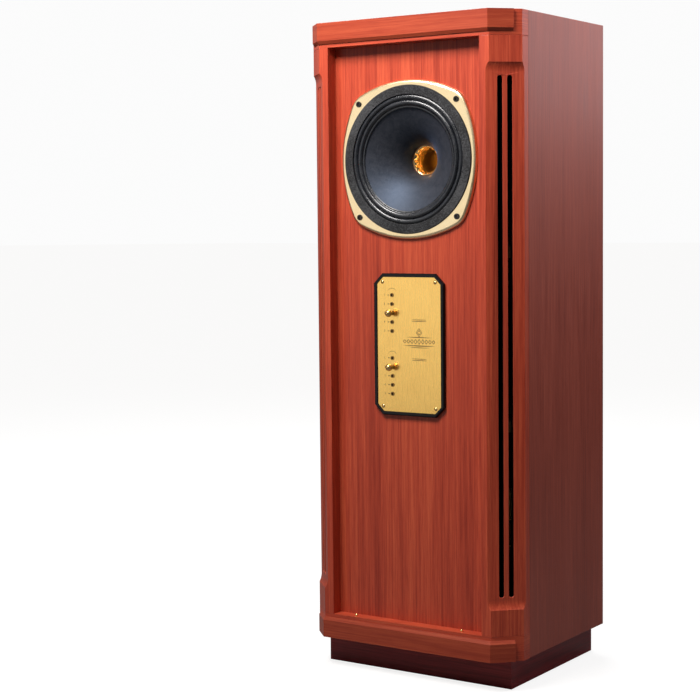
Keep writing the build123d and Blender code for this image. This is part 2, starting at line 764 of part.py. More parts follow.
def pan_head_screw(x, z, face, outward):
    """A domed cross-head screw; outward is -1 towards the front and 1 towards the back."""
    tip = face - outward * SCREW_DEEP
    ball = 3.7
    crown = face + outward * (ball - sqrt(ball**2 - SCREW_HEAD_R**2))
    dome, edge = dome_arc(ball, SCREW_HEAD_R, crown, -outward)
    head = [dome, Line(edge, (0, face)), Line((0, face), (0, crown))]
    screw = turned(head, x, z) + disc(SCREW_SHANK_R, sorted((face, tip)), x, z)
    slot = sorted((crown - outward * 1.0, crown + outward))
    for width, height in ((3.4, 0.7), (0.7, 3.4)):
        screw -= block((x - width / 2, x + width / 2), slot, (z - height / 2, z + height / 2))
    return screw


def brass_screws():
    """Four screws hold the control plate and six hold the terminal plate."""
    front = [
        pan_head_screw(x, PANEL_Z + z_off, PLATE_FRONT, -1)
        for x, z_off in corners(PLATE_SCREW_X, PLATE_SCREW_Z)
    ]
    back = [pan_head_screw(x, z, DEPTH + TERMINAL_PLATE_T, 1) for x, z in terminal_screws()]
    return group(front + back)


POST_BASE = DEPTH + TERMINAL_PLATE_T + INSULATOR_T
CAP_START = POST_BASE + WASHER_T + 0.2
CAP_END = DEPTH + TERMINAL_REACH
STUD_END = CAP_END - 4.0


def terminal_insulators():
    """Flanged bushes that hold each stud clear of the metal plate."""
    outline = [
        (STUD_R, DEPTH),
        (STUD_R + 2, DEPTH),
        (STUD_R + 2, DEPTH + TERMINAL_PLATE_T),
        (10.0, DEPTH + TERMINAL_PLATE_T),
        (10.0, POST_BASE),
        (STUD_R, POST_BASE),
    ]
    return group(turned(outline, x, z) for x, z in POSTS.values())


def terminal_stud(x, z):
    """A stud with a banana socket in its end, a wire hole and a lock nut behind the plate."""
    stud = disc(STUD_R, (DEPTH - 14, STUD_END), x, z)
    nut = Pos(x, 0) * RegularPolygon(7.5, 6)
    stud += upright(nut, (DEPTH - 5, DEPTH), z)
    stud -= disc(STUD_BORE_R, (STUD_END - 12, STUD_END + 1), x, z)
    hole = Pos(x, y_at(CAP_START - 0.2), z) * Cylinder(1.5, 20.0)
    return stud - Pos(0, 1.7, 0) * hole


def terminal_studs():
    return group(terminal_stud(x, z) for x, z in POSTS.values())


def post_cap(x, z):
    """A fluted clamping cap with a hole in its end for a banana plug."""
    bore = STUD_R + 0.06
    mouth = STUD_BORE_R + 1.0
    outline = [
        (bore, CAP_START),
        (CAP_R, CAP_START),
        (CAP_R, CAP_END - 1.2),
        (CAP_R - 1.2, CAP_END),
        (mouth, CAP_END),
        (mouth, STUD_END + 0.4),
        (bore, STUD_END + 0.4),
    ]
    cap = turned(outline, x, z)
    flutes = 8
    for i in range(flutes):
        angle = 2 * pi * (i + 0.5) / flutes
        at = CAP_R + 1.0
        flute = disc(2.0, (CAP_START + 3, CAP_END + 1), x + at * cos(angle), z + at * sin(angle))
        cap -= flute
    return cap


def post_washer(x, z):
    depth = (POST_BASE + 0.1, POST_BASE + 0.1 + WASHER_T)
    return ring(STUD_R + 0.06, CAP_R - 0.4, depth, x, z)


# ================================================================ crossover and wiring
def crossover_board():
    """The board and its four standoffs."""
    board = block((-BOARD_HALF_X, BOARD_HALF_X), BOARD_DEPTH, (BOARD_Z, BOARD_Z + BOARD_T))
    low = PLINTH_H + PANEL
    posts = [
        Pos(sx * (BOARD_HALF_X - 10), y_at(depth), (low + BOARD_Z) / 2) * Cylinder(4.0, BOARD_Z - low)
        for sx in (-1, 1)
        for depth in (BOARD_DEPTH[0] + 10, BOARD_DEPTH[1] - 10)
    ]
    return group([board] + posts)


def on_board(x, depth, height):
    return Pos(x, y_at(depth), BOARD_Z + BOARD_T + height / 2)


def inductor(x, depth, radius, height):
    """A bobbin with two flanges and a full winding."""
    flange = 2.0
    core = radius * 0.35
    body = Cylinder(radius - 2, height) - Cylinder(core, height)
    for side in (-1, 1):
        cheek = Cylinder(radius, flange) - Cylinder(core, flange)
        body += Pos(0, 0, side * (height - flange) / 2) * cheek
    return on_board(x, depth, height) * body


def crossover_inductors():
    sizes = ((-80, 165, 34, 34), (-82, 240, 27, 26), (88, 165, 24, 22))
    return group(inductor(*size) for size in sizes)


def crossover_capacitors():
    cans = []
    for depth, radius, length in ((150, 17, 62), (190, 14, 52), (224, 11, 44), (252, 11, 44)):
        can = Rot(0, 90, 0) * Cylinder(radius, length)
        can = chamfer(can.edges().filter_by(GeomType.CIRCLE), 1.0)
        cans.append(on_board(5, depth, 2 * radius) * can)
    return group(cans)


def crossover_resistors():
    blocks = []
    for depth in (205, 225, 245):
        blocks.append(on_board(85, depth, 10.0) * Box(48.0, 10.0, 10.0))
    return group(blocks)


WIRE_R = 2.5
BEND_SHARE = 0.45
# Centre lines of the looms as (x, depth, z). Each ends on the face of the piece it is joined to.
TERMINALS_TO_CROSSOVER = (
    (24, 324, 218), (24, 304, 218), (23, 285, 205), (20, 274, 180), (19, 270, 150), (22, 272, 118),
    (22, 272, 77.4),
)
CROSSOVER_TO_CONE = (
    (50, 276, 77.4), (50, 276, 110), (60, 272, 160), (70, 262, 215), (76, 248, 272), (77, 232, 330),
    (73, 216, 388), (70, 206, 446), (69, 199, 504), (64, 188, 562), (56, 174, 618), (46, 158, 668),
    (35, 143, 712), (25, 129, 744), (16, 119.5, 768), (16, 119.5, 789.3),
)
CROSSOVER_TO_HORN = (
    (78, 276, 77.4), (78, 276, 112), (90, 279, 165), (99, 272, 222), (103, 264, 282), (102, 258, 341),
    (97, 255, 400), (93, 254, 459), (91, 251, 518), (88, 247, 577), (82, 244, 635), (73, 242, 692),
    (60, 240, 746), (44, 238, 793), (28, 233, 829), (12, 222, 852), (2, 206, 866), (2, 188, 866),
)
CROSSOVER_TO_SELECTORS = (
    (-20, 276, 77.4), (-20, 276, 110), (-32, 266, 149), (-44, 255, 190), (-55, 240, 240), (-62, 218, 288),
    (-65, 192, 333), (-64, 165, 377), (-59, 138, 420), (-52, 110, 460), (-42, 84, 494), (-33, 63, 515),
    (-23, 49, 528), (-23, 34.6, 528),
)
ROUTES = (TERMINALS_TO_CROSSOVER, CROSSOVER_TO_CONE, CROSSOVER_TO_HORN, CROSSOVER_TO_SELECTORS)


def corner_radii(points):
    """The largest arc each corner has room for."""
    radii = []
    for before, here, after in zip(points, points[1:], points[2:]):
        into, out = Vector(*here) - Vector(*before), Vector(*after) - Vector(*here)
        half_turn = radians(into.get_angle(out)) / 2
        shorter = min(into.length, out.length)
        radii.append(BEND_SHARE * shorter * cos(half_turn) / sin(half_turn))
    return radii


def loom(route):
    points = [(x, y_at(depth), z) for x, depth, z in route]
    radii = corner_radii(points)
    print("loom radii", [round(radius) for radius in radii])
    path = FilletPolyline(*points, radius=radii)
    section = Plane(path @ 0, z_dir=path % 0) * Circle(WIRE_R)
    tube = sweep(section, path=path)
    print("loom volume over section times length", round(tube.volume / (pi * WIRE_R**2 * path.length), 4))
    return tube


def internal_wiring():
    return group(loom(route) for route in ROUTES)


def grille_pegs():
    """Two domed pegs with a thinner spigot let into the bottom rail."""
    solids = []
    for x in (-PEG_X, PEG_X):
        peg = Pos(0, 0, PEG_H / 2) * Cylinder(PEG_R, PEG_H)
        peg = fillet(peg.edges().group_by(Axis.Z)[-1], 2.0)
        peg += Pos(0, 0, -PEG_SPIGOT / 2) * Cylinder(PEG_SPIGOT_R, PEG_SPIGOT)
        solids.append(Pos(x, y_at(PEG_DEPTH), RAIL_BOTTOM_TOP) * peg)
    return group(solids)


def bottom_front_rail():
    body = rail(PLINTH_H, RAIL_BOTTOM_TOP)
    for x in (-PEG_X, PEG_X):
        hole = Cylinder(PEG_SPIGOT_R, PEG_SPIGOT)
        body -= Pos(x, y_at(PEG_DEPTH), RAIL_BOTTOM_TOP - PEG_SPIGOT / 2) * hole
    return body


# ================================================================ every node
def nodes():
    top_bevel_z = HEIGHT - MOULDING_FACE_H - MOULDING_BEVEL_H
    bottom_bevel_z = PLINTH_H + MOULDING_FACE_H + MOULDING_BEVEL_H
    side, post = right_side_panel(), right_post()
    made = {
        "left_side_panel": left_of(side),
        "right_side_panel": side,
        "top_panel": cross_panel((HEIGHT - PANEL, HEIGHT)),
        "bottom_panel": cross_panel((PLINTH_H, PLINTH_H + PANEL)),
        "back_panel": back_panel(),
        "front_baffle": front_baffle(),
        "left_front_post": left_of(post),
        "right_front_post": post,
        "top_front_rail": rail(RAIL_TOP_BOTTOM, HEIGHT),
        "bottom_front_rail": bottom_front_rail(),
        "top_moulding": moulding((HEIGHT - MOULDING_FACE_H, HEIGHT), top_bevel_z),
        "bottom_moulding": moulding((PLINTH_H, PLINTH_H + MOULDING_FACE_H), bottom_bevel_z),
        "window_braces": window_braces(),
        "damping_pads": damping_pads(),
        "plinth_frame": plinth_frame(),
        "spike_inserts": spike_inserts(),
        "driver_trim_ring": driver_trim_ring(),
        "driver_chassis": driver_chassis(),
        "surround_gasket": surround_gasket(),
        "cone_surround": cone_surround(),
        "speaker_cone": speaker_cone(),
        "voice_coil": voice_coil(),
        "spider": spider(),
        "front_pole_plate": front_pole_plate(),
        "ring_magnets": ring_magnets(),
        "rear_pole_piece": rear_pole_piece(),
        "hf_waveguide": hf_waveguide(),
        "hf_phase_plug": hf_phase_plug(),
        "hf_diaphragm": hf_diaphragm(),
        "hf_rear_cover": hf_rear_cover(),
        "driver_screws": driver_screws(),
        "driver_terminals": driver_terminals(),
        "control_bezel": control_bezel(),
        "control_plate": control_plate(),
        "selector_sockets": selector_sockets(),
        "selector_board": selector_board(),
        "brass_screws": brass_screws(),
        "terminal_plate": terminal_plate(),
        "terminal_insulators": terminal_insulators(),
        "terminal_studs": terminal_studs(),
        "crossover_board": crossover_board(),
        "crossover_inductors": crossover_inductors(),
        "crossover_capacitors": crossover_capacitors(),
        "crossover_resistors": crossover_resistors(),
        "internal_wiring": internal_wiring(),
        "grille_pegs": grille_pegs(),
    }
    for name, above in zip(("energy", "rolloff"), KNOB_PLACES):
        made[f"{name}_knob"] = selector_knob(PANEL_Z + above)
        made[f"{name}_washer"] = selector_washer(PANEL_Z + above)
    for name, (x, z) in POSTS.items():
        made[f"{name}_cap"] = post_cap(x, z)
        made[f"{name}_washer"] = post_washer(x, z)
    return made


os.makedirs("parts", exist_ok=True)
for name, shape in nodes().items():
    export_step(shape, f"parts/{name}.step")
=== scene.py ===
"""Looks for the floorstanding loudspeaker: materials, soft parts, engraving, light and camera.

Metres. +X is right and +Y is back as seen from the front, +Z is up. Pieces take their places from
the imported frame. The driver, its surround, spider and waveguide are turned about one y axis.
"""

import json
from math import cos, exp, pi, radians, sin, sqrt, tau

import bmesh
import bpy
from mathutils import Matrix, Vector


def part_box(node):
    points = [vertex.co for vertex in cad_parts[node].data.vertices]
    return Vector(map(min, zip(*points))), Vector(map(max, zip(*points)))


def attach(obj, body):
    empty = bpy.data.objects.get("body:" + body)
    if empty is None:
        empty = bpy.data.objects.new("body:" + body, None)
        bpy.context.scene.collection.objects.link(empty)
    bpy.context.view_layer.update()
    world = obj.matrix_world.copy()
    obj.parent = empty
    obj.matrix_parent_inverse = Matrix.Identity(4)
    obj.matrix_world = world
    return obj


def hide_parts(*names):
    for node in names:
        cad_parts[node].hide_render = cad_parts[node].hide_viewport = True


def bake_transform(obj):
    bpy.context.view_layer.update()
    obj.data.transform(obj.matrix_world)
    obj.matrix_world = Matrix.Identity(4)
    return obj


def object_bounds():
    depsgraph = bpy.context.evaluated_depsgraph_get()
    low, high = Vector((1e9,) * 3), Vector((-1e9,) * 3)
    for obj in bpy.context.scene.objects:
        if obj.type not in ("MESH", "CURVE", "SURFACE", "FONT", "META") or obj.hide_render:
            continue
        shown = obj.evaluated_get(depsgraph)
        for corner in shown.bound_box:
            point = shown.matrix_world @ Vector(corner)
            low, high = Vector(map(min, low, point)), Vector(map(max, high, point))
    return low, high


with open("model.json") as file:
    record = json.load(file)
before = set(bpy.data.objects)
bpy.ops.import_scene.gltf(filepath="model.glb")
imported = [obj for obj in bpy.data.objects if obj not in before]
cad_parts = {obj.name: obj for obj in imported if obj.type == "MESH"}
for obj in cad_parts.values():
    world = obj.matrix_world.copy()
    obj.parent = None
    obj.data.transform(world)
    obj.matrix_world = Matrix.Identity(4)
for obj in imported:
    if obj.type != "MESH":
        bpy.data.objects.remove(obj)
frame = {"nodes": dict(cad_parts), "record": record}
cad_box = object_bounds()

MM = 0.001
FRONT = cad_box[0].y


# ---------------------------------------------------------------- node helpers
def add(tree, kind, inputs=None, **properties):
    """A shader node with its inputs set to values or linked to sockets."""
    made = tree.nodes.new("ShaderNode" + kind)
    for name, value in properties.items():
        setattr(made, name, value)
    for key, value in (inputs or {}).items():
        if isinstance(value, bpy.types.NodeSocket):
            tree.links.new(value, made.inputs[key])
        else:
            made.inputs[key].default_value = value
    return made


def new_material(name, **constants):
    """A material and its shader, with the values that are the same all over set on the shader."""
    material = bpy.data.materials.new(name)
    material.use_nodes = True
    tree = material.node_tree
    shader = tree.nodes["Principled BSDF"]
    for key, value in constants.items():
        shader.inputs[key.replace("_", " ")].default_value = value
    return material, tree, shader


def maths(tree, operation, a, b=0.0, c=0.0):
    return add(tree, "Math", {0: a, 1: b, 2: c}, operation=operation).outputs[0]


def position(tree):
    return add(tree, "TexCoord").outputs["Object"]


def parts_of(tree, space):
    return add(tree, "SeparateXYZ", {0: space}).outputs[:]


def vector(tree, x, y, z):
    return add(tree, "CombineXYZ", {0: x, 1: y, 2: z}).outputs[0]


def scaled(tree, space, scale, shift=0.0):
    """A space stretched by axis, and moved aside so that two pieces don't share one pattern."""
    values = {"Vector": space, "Scale": scale, "Location": (shift, 1.7 * shift, 0.6 * shift)}
    return add(tree, "Mapping", values).outputs[0]


def noise(tree, space, scale=1.0, detail=3.0, roughness=0.55, distortion=0.0):
    values = {"Vector": space, "Scale": scale, "Detail": detail, "Roughness": roughness}
    values["Distortion"] = distortion
    return add(tree, "TexNoise", values).outputs[0]


def spread(tree, value, low, high, to_low=0.0, to_high=1.0):
    """A value between low and high, brought linearly to another range and held at its ends."""
    values = {"Value": value, "From Min": low, "From Max": high, "To Min": to_low, "To Max": to_high}
    return add(tree, "MapRange", values).outputs[0]


def ramp(tree, value, *stops):
    """A colour read off between stops of (place, colour)."""
    made = add(tree, "ValToRGB", {0: value})
    elements = made.color_ramp.elements
    for place, colour in stops[1:-1]:
        elements.new(place).color = (*colour, 1)
    for element, (place, colour) in ((elements[0], stops[0]), (elements[-1], stops[-1])):
        element.position = place
        element.color = (*colour, 1)
    return made.outputs[0]


def blended(tree, amount, first, second):
    """The first colour turned into the second by amount, a socket; a colour may be a plain triple."""
    made = add(tree, "Mix", {0: amount}, data_type="RGBA")
    for index, colour in ((6, first), (7, second)):
        if isinstance(colour, bpy.types.NodeSocket):
            tree.links.new(colour, made.inputs[index])
        else:
            made.inputs[index].default_value = (*colour, 1)
    return made.outputs[2]


def weighted(tree, *pairs):
    """Noises about one half, added up by weight about one half."""
    total = 0.5 - 0.5 * sum(weight for _, weight in pairs)
    for value, weight in pairs:
        total = maths(tree, "MULTIPLY_ADD", value, weight, total)
    return total


def relief(tree, shader, height, distance, strength):
    values = {"Height": height, "Distance": distance, "Strength": strength}
    tree.links.new(add(tree, "Bump", values).outputs[0], shader.inputs["Normal"])


def wire(tree, shader, **sockets):
    """Links sockets to the shader's inputs of the same names."""
    for key, socket in sockets.items():
        tree.links.new(socket, shader.inputs[key.replace("_", " ")])


# ---------------------------------------------------------------- wood
CHERRY = ((0.25, 0.024, 0.012), (0.45, 0.058, 0.026), (0.61, 0.104, 0.043))
CHERRY_SIDE = ((0.19, 0.030, 0.017), (0.31, 0.056, 0.033), (0.41, 0.088, 0.052))
CHERRY_BAND = ((0.21, 0.021, 0.009), (0.33, 0.044, 0.018), (0.44, 0.074, 0.029))
DARK_LACQUER = ((0.130, 0.009, 0.011), (0.270, 0.019, 0.022), (0.390, 0.034, 0.036))
BIRCH = ((0.46, 0.30, 0.15), (0.60, 0.43, 0.25), (0.70, 0.54, 0.34))
# Near-black painted shade for the deep port slots of the posts.
PORT_SHADE = (0.004, 0.003, 0.003)

# Noise scales per metre, across the grain and along it.
BROAD, STREAK, FINE, PORE = (11, 0.55), (62, 1.5), (330, 6.0), (1100, 34.0)
PLY = 2.8 * MM
ARRIS = 0.7 * MM

# Where painted shade darkens the ports of a post. Seen from above, x less the depth falls from
# PORT_LINE on behind the chamfer, and x plus the depth, over root two, runs across the chamfer.
PORT_LINE = 150.6 * MM
PORT_MIDDLE, PORT_HALF = 147.1 * MM, 13.4 * MM


def grain_space(tree, grain):
    """Coordinates whose third axis runs along the grain."""
    place = position(tree)
    if grain == "upright":
        return place
    x, y, z = parts_of(tree, place)
    if grain == "level":
        return vector(tree, y, z, x)
    back = maths(tree, "SUBTRACT", y, FRONT)
    along = maths(tree, "MULTIPLY_ADD", maths(tree, "SIGN", x), back, x)
    return vector(tree, z, 0.0, along)


def port_shade_mask(tree):
    """1 on the slots' walls and the channel straight behind them, for painted shade; 0 elsewhere on a
    post.
    """
    x, y, _ = parts_of(tree, position(tree))
    aside, back = maths(tree, "ABSOLUTE", x), maths(tree, "SUBTRACT", y, FRONT)
    across = maths(tree, "MULTIPLY", maths(tree, "ADD", aside, back), 1 / sqrt(2))
    behind = maths(tree, "LESS_THAN", maths(tree, "SUBTRACT", aside, back), PORT_LINE)
    beside = maths(tree, "COMPARE", across, PORT_MIDDLE, PORT_HALF)
    return maths(tree, "MULTIPLY", behind, beside)


def along_grain(tree, space, scale, seed, detail, roughness, distortion=0.0):
    across, along = scale
    stretched = scaled(tree, space, (across, across, along), seed)
    return noise(tree, stretched, 1.0, detail, roughness, distortion)


def wood(name, tones, grain="upright", seed=0.0, ported=False, figure=0.10, plies=False, **finish):
    """Straight fine grain with darker streaks, some wavy figure and open pores."""
    looks = {"Roughness": 0.40, "Coat_Weight": 0.05, "Coat_Roughness": 0.20, "Specular_IOR_Level": 0.25}
    material, tree, shader = new_material(name, **{**looks, **finish})
    space = grain_space(tree, grain)
    broad = along_grain(tree, space, BROAD, seed, 3.0, 0.5)
    streak = along_grain(tree, space, STREAK, seed, 5.0, 0.68, 0.25)
    fine = along_grain(tree, space, FINE, seed, 4.0, 0.7)
    pore = along_grain(tree, space, PORE, seed, 2.0, 0.5)
    flame = add(
        tree,
        "TexWave",
        {"Vector": scaled(tree, space, (1, 1, 0.10), seed), "Scale": 7.0, "Distortion": 9.0,
         "Detail": 3.0, "Detail Scale": 1.6, "Detail Roughness": 0.6},
        wave_type="BANDS",
        bands_direction="X",
    ).outputs[1]
    tone = weighted(tree, (broad, 0.38), (streak, 0.50), (fine, 1.25), (flame, figure))
    colour = ramp(tree, tone, (0.12, tones[0]), (0.50, tones[1]), (0.86, tones[2]))
    pored = spread(tree, pore, 0.56, 0.70)
    colour = blended(tree, maths(tree, "MULTIPLY", pored, 0.45), colour, tones[0])
    if plies:
        _, _, z = parts_of(tree, position(tree))
        ply = maths(tree, "SINE", maths(tree, "MULTIPLY", z, tau / PLY))
        colour = blended(tree, spread(tree, ply, 0.2, 0.6, 0.0, 0.35), colour, tones[0])
    # Painted shade: the port slots' walls and the channel behind them turn near black.
    if ported:
        colour = blended(tree, port_shade_mask(tree), colour, PORT_SHADE)
    wire(tree, shader, Base_Color=colour)
    rough = finish.get("Roughness", looks["Roughness"])
    wire(tree, shader, Roughness=spread(tree, fine, 0.3, 0.7, rough - 0.06, rough + 0.08))
    height = weighted(tree, (pore, -0.8), (fine, 0.4))
    relief(tree, shader, height, 0.10 * MM, 0.35)
    return material


# ---------------------------------------------------------------- metals
def metal(name, colour, roughness, brush=None, grain=900.0, relief_mm=0.02, tarnish=0.12, **finish):
    """A metal whose tone and roughness vary; brush stretches the fine marks along one axis."""
    material, tree, shader = new_material(name, Metallic=1.0, **finish)
    place = position(tree)
    stretch = brush or (1.0, 1.0, 1.0)
    marks = noise(tree, scaled(tree, place, tuple(grain * s for s in stretch)), 1.0, 3.0, 0.6)
    cloud = noise(tree, place, 22.0, 4.0, 0.6)
    darker = tuple(c * (1 - tarnish) ** (1 + i * 0.6) for i, c in enumerate(colour))
    tone = weighted(tree, (cloud, 1.4), (marks, 0.6))
    wire(tree, shader, Base_Color=ramp(tree, tone, (0.2, darker), (0.8, colour)))
    wire(tree, shader, Roughness=spread(tree, marks, 0.3, 0.7, roughness * 0.75, roughness * 1.3))
    relief(tree, shader, marks, relief_mm * MM, 0.5)
    return material


def wound_wire(name, colour, pitch, axis):
    """Enamelled turns side by side along one axis, with painted shade in the grooves between them."""
    material, tree, shader = new_material(name, Metallic=0.9, Coat_Weight=0.5, Coat_Roughness=0.2)
    along = parts_of(tree, position(tree))[axis]
    turns = maths(tree, "SINE", maths(tree, "MULTIPLY", along, tau / pitch))
    # Painted shade: the colour darkens in the grooves between turns.
    dark = tuple(c * 0.35 for c in colour)
    wire(tree, shader, Base_Color=ramp(tree, spread(tree, turns, -1, 1), (0.0, dark), (0.5, colour)))
    wire(tree, shader, Roughness=spread(tree, noise(tree, position(tree), 300.0), 0.3, 0.7, 0.25, 0.4))
    relief(tree, shader, turns, 0.15 * MM, 0.8)
    return material


# ---------------------------------------------------------------- plastics, papers, cloths
def moulded(name, colour, roughness, grain=1400.0, relief_mm=0.03, tint=1.35, **finish):
    """Moulded plastic, rubber or lacquer with a fine skin."""
    material, tree, shader = new_material(name, **finish)
    place = position(tree)
    skin = noise(tree, place, grain, 2.0, 0.5)
    cloud = noise(tree, place, 18.0, 4.0, 0.6)
    lighter = tuple(min(1.0, c * tint) for c in colour)
    wire(tree, shader, Base_Color=ramp(tree, cloud, (0.3, colour), (0.7, lighter)))
    wire(tree, shader, Roughness=spread(tree, skin, 0.3, 0.7, roughness * 0.85, roughness * 1.15))
    relief(tree, shader, skin, relief_mm * MM, 0.4)
    return material


def speckled(name, dark, light, size, roughness, relief_mm=0.10, **finish):
    """A granular surface: pressed fibre, ferrite, cement or foam."""
    material, tree, shader = new_material(name, **finish)
    place = position(tree)
    grains = noise(tree, place, 1 / size, 4.0, 0.72)
    cloud = noise(tree, place, 14.0, 3.0, 0.5)
    tone = weighted(tree, (grains, 1.3), (cloud, 0.5))
    wire(tree, shader, Base_Color=ramp(tree, tone, (0.42, dark), (0.66, light)))
    wire(tree, shader, Roughness=spread(tree, grains, 0.3, 0.7, roughness - 0.08, roughness + 0.06))
    relief(tree, shader, grains, relief_mm * MM, 0.8)
    return material


def woven(name, dark, light, pitch, roughness, relief_mm=0.12, **finish):
    """Cloth threads crossing in x and z, soaked in dope or resin."""
    material, tree, shader = new_material(name, **finish)
    x, _, z = parts_of(tree, position(tree))
    warp = maths(tree, "SINE", maths(tree, "MULTIPLY", x, tau / pitch))
    weft = maths(tree, "SINE", maths(tree, "MULTIPLY", z, tau / pitch))
    threads = spread(tree, maths(tree, "MULTIPLY", warp, weft), -1, 1)
    cloud = noise(tree, position(tree), 60.0, 4.0, 0.6)
    tone = weighted(tree, (threads, 0.5), (cloud, 1.0))
    wire(tree, shader, Base_Color=ramp(tree, tone, (0.25, dark), (0.8, light)))
    wire(tree, shader, Roughness=spread(tree, cloud, 0.3, 0.7, roughness - 0.06, roughness + 0.08))
    relief(tree, shader, threads, relief_mm * MM, 0.4)
    return material


def cone_paper():
    """Felted paper: short fibres swirl round the cone, with a faint blue-grey bloom."""
    material, tree, shader = new_material(
        "cone_paper", Sheen_Weight=0.18, Sheen_Roughness=0.35, Sheen_Tint=(0.34, 0.52, 1.0, 1),
        Specular_IOR_Level=0.55, Specular_Tint=(0.50, 0.68, 1.0, 1),
    )
    place = position(tree)
    fibre = noise(tree, place, 520.0, 4.0, 0.75, 1.2)
    mottle = noise(tree, place, 120.0, 5.0, 0.7, 0.6)
    tone = weighted(tree, (fibre, 1.1), (mottle, 0.9))
    dark, light = (0.008, 0.008, 0.009), (0.040, 0.039, 0.044)
    wire(tree, shader, Base_Color=ramp(tree, tone, (0.25, dark), (0.80, light)))
    wire(tree, shader, Roughness=spread(tree, fibre, 0.3, 0.7, 0.44, 0.60))
    relief(tree, shader, fibre, 0.25 * MM, 0.7)
    return material


def circuit_board():
    """Green solder resist over paler tracks that run square to each other."""
    material, tree, shader = new_material("green_board", Roughness=0.38, Coat_Weight=0.3)
    place = position(tree)
    cells = add(tree, "TexVoronoi", {"Vector": place, "Scale": 130.0}, distance="MANHATTAN",
                feature="F1").outputs[0]
    tracks = spread(tree, cells, 0.42, 0.50)
    cloud = noise(tree, place, 40.0)
    base = ramp(tree, cloud, (0.3, (0.006, 0.055, 0.022)), (0.7, (0.010, 0.085, 0.034)))
    wire(tree, shader, Base_Color=blended(tree, tracks, base, (0.05, 0.20, 0.08)))
    relief(tree, shader, tracks, 0.05 * MM, 0.6)
    return material


CAN_MIDDLE = 5 * MM
BAND_RATE = 420.0        # radians a metre


def capacitor_film():
    """Cream wrap with narrow amber bands round the cans."""
    material, tree, shader = new_material("capacitor_film", Coat_Weight=0.4, Coat_Roughness=0.15)
    x, _, _ = parts_of(tree, position(tree))
    from_middle = maths(tree, "ABSOLUTE", maths(tree, "SUBTRACT", x, CAN_MIDDLE))
    swing = maths(tree, "SINE", maths(tree, "MULTIPLY", from_middle, BAND_RATE))
    bands = spread(tree, swing, 0.80, 0.9)
    cloud = noise(tree, position(tree), 90.0)
    base = ramp(tree, cloud, (0.3, (0.62, 0.52, 0.30)), (0.7, (0.72, 0.64, 0.42)))
    wire(tree, shader, Base_Color=blended(tree, bands, base, (0.42, 0.16, 0.03)))
    wire(tree, shader, Roughness=spread(tree, cloud, 0.3, 0.7, 0.3, 0.45))
    relief(tree, shader, cloud, 0.05 * MM, 0.4)
    return material


def brushed_plate():
    """Polished brass with fine upright brushing and a slow change of tone."""
    return metal("brass_plate", (0.95, 0.60, 0.175), 0.27, brush=(1.0, 1.0, 0.02), grain=2600.0,
                 relief_mm=0.006, tarnish=0.035)


SLOT_FINISHES = {
    "birch_plywood": lambda: wood("birch_plywood", BIRCH, "level", 5.1, plies=True, Roughness=0.6,
                                  Coat_Weight=0.0),
    "acoustic_foam": lambda: speckled("acoustic_foam", (0.012, 0.012, 0.014), (0.075, 0.075, 0.082),
                                      1.1 * MM, 0.92, 0.5),
    "dark_plinth_lacquer": lambda: wood("dark_plinth_lacquer", DARK_LACQUER, "band", 3.3,
                                        Roughness=0.34, Coat_Weight=0.10),
    "zinc_steel": lambda: metal("zinc_steel", (0.62, 0.63, 0.64), 0.38, grain=700.0, tarnish=0.25),
    "champagne_gold": lambda: metal("champagne_gold", (0.93, 0.76, 0.47), 0.30, grain=1500.0,
                                    relief_mm=0.03, tarnish=0.07),
    "cast_chassis": lambda: speckled("cast_chassis", (0.02, 0.02, 0.022), (0.06, 0.06, 0.066),
                                     0.9 * MM, 0.5, 0.12, Metallic=0.4),
    "fibre_gasket": lambda: speckled("fibre_gasket", (0.004, 0.004, 0.005), (0.060, 0.062, 0.066),
                                     1.9 * MM, 0.82, 0.25, Specular_IOR_Level=0.35),
    "doped_cloth": lambda: woven("doped_cloth", (0.003, 0.004, 0.006), (0.014, 0.016, 0.022),
                                 0.7 * MM, 0.27, Coat_Weight=0.3, Coat_Roughness=0.15),
    "cone_paper": cone_paper,
    "copper_wire": lambda: wound_wire("copper_wire", (0.72, 0.30, 0.13), 0.9 * MM, 2),
    "spider_cloth": lambda: woven("spider_cloth", (0.30, 0.17, 0.05), (0.62, 0.42, 0.17), 0.8 * MM,
                                  0.72),
    "plated_steel": lambda: metal("plated_steel", (0.50, 0.51, 0.53), 0.34, tarnish=0.2),
    "ferrite": lambda: speckled("ferrite", (0.018, 0.018, 0.020), (0.06, 0.06, 0.064), 0.7 * MM, 0.6),
    "gold_waveguide": lambda: metal("gold_waveguide", (1.0, 0.74, 0.37), 0.20, grain=1300.0,
                                    tarnish=0.10),
    "alloy_dome": lambda: metal("alloy_dome", (0.78, 0.79, 0.80), 0.26, tarnish=0.1),
    "black_steel": lambda: metal("black_steel", (0.055, 0.055, 0.058), 0.30, tarnish=0.3),
    "black_plastic": lambda: moulded("black_plastic", (0.013, 0.013, 0.014), 0.42),
    "gloss_black": lambda: moulded("gloss_black", (0.005, 0.005, 0.006), 0.10, relief_mm=0.004,
                                   Specular_IOR_Level=0.1, Coat_Weight=0.10, Coat_Roughness=0.04),
    "polished_brass": lambda: metal("polished_brass", (0.78, 0.54, 0.23), 0.08, grain=1800.0,
                                    relief_mm=0.006, tarnish=0.10),
    "green_board": circuit_board,
    "gold_plate": lambda: metal("gold_plate", (0.95, 0.70, 0.29), 0.20, grain=1600.0, relief_mm=0.01,
                                tarnish=0.08),
    "red_cap": lambda: moulded("red_cap", (0.38, 0.012, 0.010), 0.28, Coat_Weight=0.4),
    "black_cap": lambda: moulded("black_cap", (0.012, 0.012, 0.013), 0.28, Coat_Weight=0.4),
    "green_cap": lambda: moulded("green_cap", (0.012, 0.16, 0.035), 0.28, Coat_Weight=0.4),
    "capacitor_film": capacitor_film,
    "cement": lambda: speckled("cement", (0.50, 0.49, 0.46), (0.72, 0.71, 0.68), 0.9 * MM, 0.85),
    "wire_sleeve": lambda: moulded("wire_sleeve", (0.016, 0.016, 0.018), 0.45),
}

